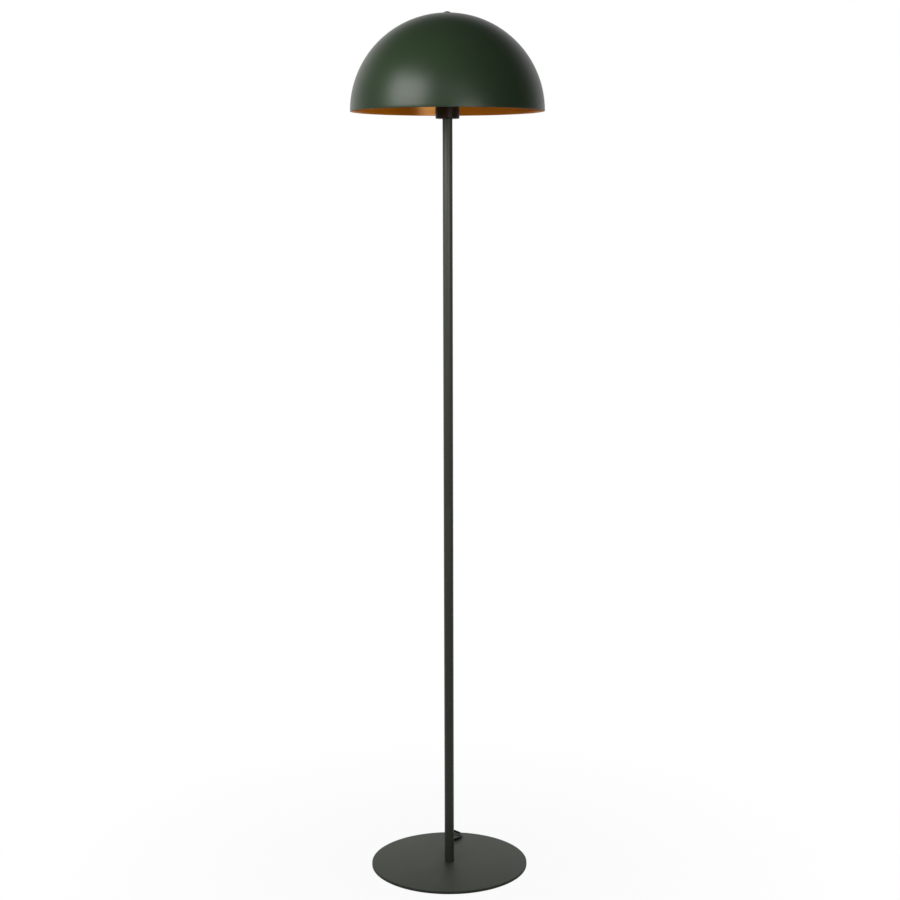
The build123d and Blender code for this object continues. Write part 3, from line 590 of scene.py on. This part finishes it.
half_wall = shade_wall / 2
rim_height = shade_rim + rim_lift
rim = [
    Vector((shade_radius - half_wall + half_wall * math.cos(turn), 0, rim_height - rim_lift * math.sin(turn)))
    for turn in (math.pi * step / rim_steps for step in range(rim_steps + 1))
]
profile = [
    Vector((shade_hole, 0, shade_top)), *dome_points(0)[:-1], *rim, *dome_points(shade_wall)[-2::-1],
    Vector((shade_hole, 0, shade_top - shade_wall)), Vector((shade_hole, 0, shade_top)),
]
shade = turned("dome_shade", profile, shade_green, steps=192, soft_angle=50)
shade.data.materials.append(shade_gold)
for face in shade.data.polygons:
    reach = face.center.xy.length / (shade_radius - half_wall)
    height = (face.center.z - shade_rim) / (dome_rise - half_wall)
    under = face.center.z < shade_top - half_wall
    face.material_index = 1 if under and reach * reach + height * height < 1 else 0
settle(shade, "shade_dome", "shade_paint", "shade")

screw_black = plated("screw_black", (0.10, 0.10, 0.095), roughness=0.36, stretch=(1, 1, 1))
solid_finish(screw_black, "shade_screw", "upper_washer")

# Bulb: an opal glass globe on a rolled aluminium screw cap, with a black glass insulator and a
# soldered contact under it. It screws into the holder's brass shell.
opal_glass, shader, start = new_finish("opal_glass", {"Coat Weight": 0.6, "Coat Roughness": 0.05})
milk = cloud(start, scale=40)
feed(shader, "Base Color", tint(milk, (0.84, 0.83, 0.80), spread=0.03))
feed(shader, "Roughness", 0.22 + 0.08 * milk)
low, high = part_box("bulb_globe")
neck_foot, globe_top = low.z, high.z
globe_radius, neck_radius, neck_curve, neck_steps, globe_steps = 0.030, 0.014, 0.044125, 14, 28
globe_middle = globe_top - globe_radius
lean = math.atan2(globe_middle - neck_foot, neck_radius + neck_curve)
neck = [
    Vector((neck_radius + neck_curve * (1 - math.cos(turn)), 0, neck_foot + neck_curve * math.sin(turn)))
    for turn in (lean * step / neck_steps for step in range(neck_steps))
]
ball = [
    Vector((globe_radius * math.cos(turn), 0, globe_middle + globe_radius * math.sin(turn)))
    for turn in (-lean + (math.pi / 2 + lean) * step / globe_steps for step in range(globe_steps))
]
globe = turned(
    "globe", [Vector((0, 0, neck_foot)), *neck, *ball, Vector((0, 0, globe_top))], opal_glass
)
settle(globe, "bulb", "bulb_opal", "bulb_globe")

rolled_aluminium = plated("rolled_aluminium", (0.80, 0.80, 0.81), roughness=0.26, stretch=(1, 1, 8))
flange_radius, cap_foot, cap_top = round_size("bulb_cap")
cap_tip, cap_radius, taper_end = 0.0115, 0.0123, cap_foot + 0.0023
flare_start, flare_end = cap_top - 0.0027, cap_top - 0.0017
roll_edge, flare_edge, flange_edge = 0.0006, 0.0005, 0.0004
cap_side = eased([
    (cap_tip, cap_foot, 0), (cap_radius, taper_end, roll_edge), (cap_radius, flare_start, roll_edge),
    (flange_radius, flare_end, flare_edge), (flange_radius, cap_top, flange_edge),
])[:-1]
screw_cap = turned(
    "screw_cap", [Vector((0, 0, cap_foot)), *cap_side, Vector((0, 0, cap_top))], rolled_aluminium, steps=80
)
settle(screw_cap, "bulb", "bulb_metal", "bulb_cap")
cap_thread = thread(
    "cap_thread", rolled_aluminium, radius=0.0122, pitch=0.0036, turns=4, foot=cap_foot + 0.003, ridge=0.00095
)
settle(cap_thread, "bulb", "bulb_metal")
insulator_black = moulded(
    "insulator_black", (0.01, 0.01, 0.012), roughness=0.15, grain=500, depth=0.00002
)
solid_finish(insulator_black, "bulb_insulator")

# Wiring in the pole: a black round cord, its brown and blue cores in the holder, and a tapered ribbed
# bush where it leaves the back of the pole near the foot.
sheath_black = moulded("sheath_black", (0.011, 0.011, 0.0115), roughness=0.44, grain=1300, depth=0.00005)
solid_finish(sheath_black, "inner_cord")
core_brown = moulded("core_brown", (0.10, 0.035, 0.015), roughness=0.4, grain=900, depth=0.00003)
solid_finish(core_brown, "live_wire")
core_blue = moulded("core_blue", (0.02, 0.07, 0.32), roughness=0.4, grain=900, depth=0.00003)
solid_finish(core_blue, "neutral_wire")

low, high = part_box("cord_relief")
cord_height, collar_radius, bush_tip = (low.z + high.z) / 2, (high.z - low.z) / 2, high.y
collar_start, collar_end, root_radius, tip_radius = 0.006, 0.011, 0.0050, 0.0035
cord_hole, hole_floor = 0.00232, bush_tip - 0.003
collar_edge, root_edge, tip_edge, groove_edge, groove_floor_edge = 0.0006, 0.0003, 0.0005, 0.0003, 0.0002
groove_count, first_groove, groove_pitch = 4, 0.0135, 0.0042
groove_width, groove_depth, groove_flank, floor_taper, lip_taper = 0.0022, 0.0012, 0.0003, 0.0001, 0.00015
bush = [
    (0, collar_start, 0), (collar_radius, collar_start, 0), (collar_radius, collar_end, collar_edge),
    (root_radius, collar_end, root_edge),
]
for groove in range(groove_count):
    foot = first_groove + groove * groove_pitch
    head = foot + groove_width
    part = (foot - collar_end) / (bush_tip - collar_end)
    radius = root_radius - (root_radius - tip_radius) * part
    floor_radius = radius - groove_depth
    bush += [
        (radius, foot, groove_edge), (floor_radius, foot + groove_flank, groove_floor_edge),
        (floor_radius - floor_taper, head - groove_flank, groove_floor_edge),
        (radius - lip_taper, head, groove_edge),
    ]
bush += [
    (tip_radius, bush_tip, tip_edge), (cord_hole, bush_tip, 0), (cord_hole, hole_floor, 0),
    (0, hole_floor, 0),
]
cord_bush = turned("cord_bush", eased(bush), sheath_black, steps=48)
cord_bush.data.transform(
    Matrix.Translation((0, 0, cord_height)) @ Matrix.Rotation(-math.pi / 2, 4, "X")
)
settle(cord_bush, "lamp", "cord_black", "cord_relief")

# Switch: two moulded black shells on the cord, held by two screws from below, with finger ribs at both
# ends and short bushes that hold the cord. The rocker on its own pins has a white line and a ring on it.
switch_black = moulded("switch_black", (0.015, 0.015, 0.016), roughness=0.5, grain=1200, depth=0.00012)
solid_finish(switch_black, "switch_lower_shell", "switch_upper_shell", "plug_body")
rocker_black = moulded("rocker_black", (0.013, 0.013, 0.014), roughness=0.22, grain=900, depth=0.00003)
solid_finish(rocker_black, "switch_rocker")


def bars_tree():
    """Round bars side by side along a line."""
    tree, blank, (count, pitch, length, bead, finish) = new_tree(
        "row_of_bars", {"Count": "Int", "Pitch": "Float", "Length": "Float", "Bead": "Float"}
    )
    step = blank.node("ShaderNodeCombineXYZ", {}, {"Y": pitch})
    row = blank.node("GeometryNodeMeshLine", {"mode": "OFFSET"}, {"Count": count, "Offset": step})
    bar = blank.node(
        "GeometryNodeMeshCylinder", {}, {"Vertices": 12, "Radius": bead, "Depth": length}, "Mesh"
    )
    bars = blank.node(
        "GeometryNodeInstanceOnPoints", {}, {"Points": row, "Instance": bar, "Rotation": (0, math.pi / 2, 0)}
    )
    end_tree(bars, finish)
    return tree


row_of_bars = bars_tree()


def bars(name, finish, place, count, pitch, length, bead):
    """A row of bars, put in place."""
    sizes = {"Count": count, "Pitch": pitch, "Length": length, "Bead": bead, "Finish": finish}
    row = made_by(row_of_bars, name, bpy.data.meshes.new(name), sizes, soft_angle=50)
    row.data.transform(place)
    return row


low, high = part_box("switch_upper_shell")
switch_front, switch_back, switch_split, switch_top = low.y, high.y, low.z, high.z
row_count, row_pitch, row_inset, row_sink = 4, 0.003, 0.0055, 0.0002
rear_row = switch_back - row_inset - (row_count - 1) * row_pitch
for name, first in (("front_ribs", switch_front + row_inset), ("rear_ribs", rear_row)):
    row_place = Matrix.Translation((0, first, switch_top - row_sink))
    ribs = bars(name, switch_black, row_place, row_count, row_pitch, length=0.0095, bead=0.0006)
    settle(ribs, "lamp", "switch_black")


def stepped_bush(name, place, radii, heights, eases):
    """A short bush round the cord, put in place: a tapered collar and a narrower nose."""
    collar_root, collar_tip, nose_root, nose_tip = radii
    foot, collar_end, nose_start, tip = heights
    collar_ease, nose_ease, tip_ease = eases
    piece = turned(
        name,
        ring_of([
            (cord_hole, foot, 0), (collar_root, foot, 0), (collar_tip, collar_end, collar_ease),
            (nose_root, nose_start, nose_ease), (nose_tip, tip, tip_ease), (cord_hole, tip, 0),
        ]),
        switch_black, steps=40,
    )
    piece.data.transform(place)
    return piece


bush_sink = 0.001
for name, end, way in (
    ("front_cord_bush", switch_front + bush_sink, 1), ("rear_cord_bush", switch_back - bush_sink, -1),
):
    sleeve = stepped_bush(
        name, Matrix.Translation((0, end, switch_split)) @ Matrix.Rotation(way * math.pi / 2, 4, "X"),
        radii=(0.0040, 0.0038, 0.0034, 0.0031), heights=(0, 0.0045, 0.0048, 0.0075),
        eases=(0.0004, 0.0003, 0.0004),
    )
    settle(sleeve, "lamp", "switch_black")

mark_white, shader, start = new_finish("mark_white", {})
feed(shader, "Base Color", tint(cloud(start, scale=900), (0.75, 0.75, 0.73), spread=0.08))
feed(shader, "Roughness", 0.4 + 0.1 * cloud(start, scale=400))
mark_bead, mark_ring, ring_steps = 0.0003, 0.0014, 10
on_mark = bars(
    "on_mark", mark_white, Matrix.Rotation(math.pi / 2, 4, "Z"), count=1, pitch=0.001, length=0.0034,
    bead=mark_bead,
)
off_mark = turned(
    "off_mark",
    [
        Vector((mark_ring + mark_bead * math.cos(turn), 0, mark_bead * math.sin(turn)))
        for turn in (2 * math.pi * step / ring_steps for step in range(ring_steps + 1))
    ],
    mark_white, steps=32, soft_angle=60,
)
pivot = next(joint["pos_m"] for joint in frame["joints"] if joint["name"] == "rocker_tilt")
tilt, mark_reach, rocker_rise, mark_sink = math.radians(8), 0.0047, 0.0037, 0.0001
mark_height = rocker_rise + mark_reach * math.tan(tilt) - mark_sink
for mark, way in ((on_mark, -1), (off_mark, 1)):
    mark.data.transform(
        Matrix.Translation(pivot) @ Matrix.Rotation(tilt, 4, "X")
        @ Matrix.Translation((0, way * mark_reach, mark_height)) @ Matrix.Rotation(way * tilt, 4, "X")
    )
    settle(mark, "rocker", "rocker_black")

# Tie: a white plastic strap round the hank. Its end runs through a moulded catch on top and sticks out
# as a short tail, and both have cross ribs for a finger.
strap_white, shader, start = new_finish("strap_white", {"Specular IOR Level": 0.4})
feed(shader, "Base Color", tint(cloud(start, scale=60), (0.80, 0.80, 0.78), spread=0.05))
feed(shader, "Roughness", 0.42 + 0.12 * cloud(start, scale=500))
low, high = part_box("cord_tie")
strap_reach, strap_wall, strap_corner, corner_steps = 0.0100, 0.00065, 0.0036, 6


def strap_outline(inset):
    """The strap's four rounded corners, in order, inside its outer face by an inset."""
    reach, top, foot = strap_reach - strap_corner, high.z - strap_corner, low.z + strap_corner
    points = []
    for number, (x, z) in enumerate(((reach, top), (-reach, top), (-reach, foot), (reach, foot))):
        middle = Vector((x, 0, z))
        for step in range(corner_steps + 1):
            turn = math.pi / 2 * (number + step / corner_steps)
            points.append(middle + (strap_corner - inset) * Vector((math.cos(turn), 0, math.sin(turn))))
    return points


work = bmesh.new()
outside, inside = strap_outline(0), strap_outline(strap_wall)
rings = [
    [work.verts.new((point.x, edge, point.z)) for point in outline]
    for edge, outline in ((low.y, outside), (high.y, outside), (high.y, inside), (low.y, inside))
]
for ring, next_ring in zip(rings, rings[1:] + rings[:1]):
    for number in range(len(ring)):
        work.faces.new((ring[number - 1], ring[number], next_ring[number], next_ring[number - 1]))


def pressed_bar(outline, half_width):
    """Adds a bar across the strap's top, with an outline in the XZ plane."""
    middle = (low.y + high.y) / 2
    ends = [
        [work.verts.new((x, edge, high.z + z)) for x, z in outline]
        for edge in (middle - half_width, middle + half_width)
    ]
    for number, corner in enumerate(ends[0]):
        work.faces.new((corner, ends[0][number - 1], ends[1][number - 1], ends[1][number]))
    work.faces.new(ends[0])
    work.faces.new(ends[1])


tooth, tooth_pitch = 0.0003, 0.0013


def cross_rib(place, height):
    """The three corners of a small rib that stands on an outline."""
    return [(place, height), (place + tooth, height + tooth), (place + 2 * tooth, height)]


catch_left, catch_right, catch_top, catch_sunk, first_rib = -0.0022, 0.0062, 0.0034, -0.0005, -0.0008
catch = [(catch_left, catch_sunk), (catch_left, 0.0027), (-0.0014, catch_top)]
for number in range(4):
    catch += cross_rib(first_rib + number * tooth_pitch, catch_top)
catch += [(0.0044, catch_top), (catch_right, 0.0012), (catch_right, catch_sunk)]
pressed_bar(catch, half_width=0.0038)
tail_root, tail_bend, tail_foot, tail_top = -0.0020, -0.0055, 0.0010, 0.0019
tail_slope, first_rib = 0.17, -0.0085
tail = [(tail_root, tail_foot), (tail_bend, tail_foot), (-0.0090, 0.0016), (-0.0092, 0.0021)]
for number in range(5):
    place = first_rib + number * tooth_pitch
    tail += cross_rib(place, tail_top + max(0.0, tail_bend - place) * tail_slope)
tail += [(tail_root, tail_top)]
pressed_bar(tail, half_width=0.0031)
bmesh.ops.recalc_face_normals(work, faces=work.faces)
strap_mesh = bpy.data.meshes.new("strap")
work.to_mesh(strap_mesh)
work.free()
strap_mesh.materials.append(strap_white)
strap = bpy.data.objects.new("strap", strap_mesh)
scene.collection.objects.link(strap)
soften = strap.modifiers.new("soften", "BEVEL")
soften.width = 0.00015
soften.segments = 2
settle(strap, "lamp", "tie_white", "cord_tie")

# Plug: a flat moulded body that stands on one of its narrow edges, with two nickelled pins, finger
# ribs on both sides and a short bush round the cord.
nickel_plate = plated("nickel_plate", (0.70, 0.68, 0.64), roughness=0.22, stretch=(1, 9, 1))
solid_finish(nickel_plate, "plug_pins")
plug_length, plug_rise, plug_narrowing, plug_half, plug_lift = 0.028, 0.01085, 0.00135, 0.0068, 0.0002
plug_slope = math.atan2(plug_rise, plug_length)
side_slope = math.atan2(plug_narrowing, plug_length)
plug_end = Vector((0.0026, 0.415, plug_lift + plug_half * math.cos(plug_slope)))
plug_place = Matrix.Translation(plug_end) @ Matrix.Rotation(plug_slope, 4, "X")
grip_aside, grip_start = 0.0058, 0.008
for name, side in (("left_grip", -1), ("right_grip", 1)):
    grip_place = (
        plug_place @ Matrix.Translation((side * grip_aside, grip_start, 0))
        @ Matrix.Rotation(-side * side_slope, 4, "Z") @ Matrix.Rotation(math.pi / 2, 4, "Y")
    )
    grip = bars(name, switch_black, grip_place, count=5, pitch=0.0034, length=0.011, bead=0.0008)
    settle(grip, "lamp", "switch_black")
plug_bush = stepped_bush(
    "plug_bush", plug_place @ Matrix.Rotation(-math.pi / 2, 4, "X"),
    radii=(0.0048, 0.0044, 0.0038, 0.0034), heights=(0.001, -0.003, -0.0034, -0.008),
    eases=(0.0005, 0.0003, 0.0006),
)
settle(plug_bush, "lamp", "switch_black")

# Cord: 1.8 m of round black flex, 4.6 mm across. It drops from the bush to the plate, makes a loose bend
# there, crosses the rear edge to the switch, and is put away behind that in a hank of four layers.
cord_route = [
    (0, 0.031, 0.028), (0, 0.044, 0.028), (0, 0.0595, 0.017), (0, 0.075, 0.0089),
    (0, 0.096, 0.0085), (0.024, 0.1145, 0.0085), (0.0245, 0.1355, 0.009), (0.002, 0.154, 0.0095),
    (0, 0.173, 0.005), (0, 0.191, 0.0026), (0, 0.206, 0.0034), (0, 0.216, 0.005), (0, 0.230, 0.005),
    (0, 0.241, 0.0034), (0, 0.261, 0.0034), (0, 0.272, 0.005), (0, 0.285, 0.005),
    (-0.0012, 0.293, 0.0045), (-0.0062, 0.304, 0.0030), (-0.007575, 0.315, 0.0026),
]
hank_start, hank_end, hank_level = 0.326, 0.380, 0.0257
layers, half_turns, layer_pitch, fold, fold_step = 4, 3, 0.00505, 0.0144, 0.0029
drawn_in, tucked, fold_points = 0.0092, 0.8865, 4


def layer_place(layer):
    """The place of a layer across the hank."""
    return (min(max(layer, 0), layers - 1) - (layers - 1) / 2) * layer_pitch


def fold_radius(run):
    """How far a run lies from the hank's middle: the layers spiral in and out by turns."""
    return fold + abs(half_turns - run % (2 * half_turns)) * fold_step


for run in range(layers * half_turns + 1):
    way = 1 if run % 2 == 0 else -1
    near, far = (hank_start, hank_end) if way == 1 else (hank_end, hank_start)
    aside, next_aside = layer_place((run - 1) // half_turns), layer_place(run // half_turns)
    radius, next_radius = fold_radius(run), fold_radius(run + 1)
    for part, dip, tuck in ((0.15, 0, 1), (0.5, drawn_in, tucked), (0.85, 0, 1)):
        cord_route.append((
            (aside + (next_aside - aside) * part) * tuck, near + (far - near) * part,
            hank_level - way * (radius - dip),
        ))
    if run < layers * half_turns:
        for step in range(fold_points):
            part = (step + 0.5) / fold_points
            turn = math.pi * part
            reach = (radius + (next_radius - radius) * part) / math.cos(math.pi / 2 / fold_points)
            cord_route.append((
                next_aside, far + way * reach * math.sin(turn), hank_level - way * reach * math.cos(turn),
            ))
cord_route += [
    (0.007575, 0.386, 0.0026), (0.0073, 0.395, 0.0026), (0.0035, 0.4045, 0.0033),
    (0.0026, 0.41071, 0.00488), (0.0026, 0.415, 0.00654),
]
flex = bpy.data.curves.new("flex", "CURVE")
flex.dimensions = "3D"
line = flex.splines.new("NURBS")
line.points.add(len(cord_route) - 1)
for point, place in zip(line.points, cord_route):
    point.co = (*place, 1)
line.order_u = 3
line.use_endpoint_u = True
line.resolution_u = 6
flex.bevel_depth = 0.0023
flex.bevel_resolution = 4
flex.use_fill_caps = True
flex.materials.append(sheath_black)
cord = bpy.data.objects.new("flex", flex)
scene.collection.objects.link(cord)
settle(cord, "lamp", "cord_black", "cord_to_switch", "cord_hank")
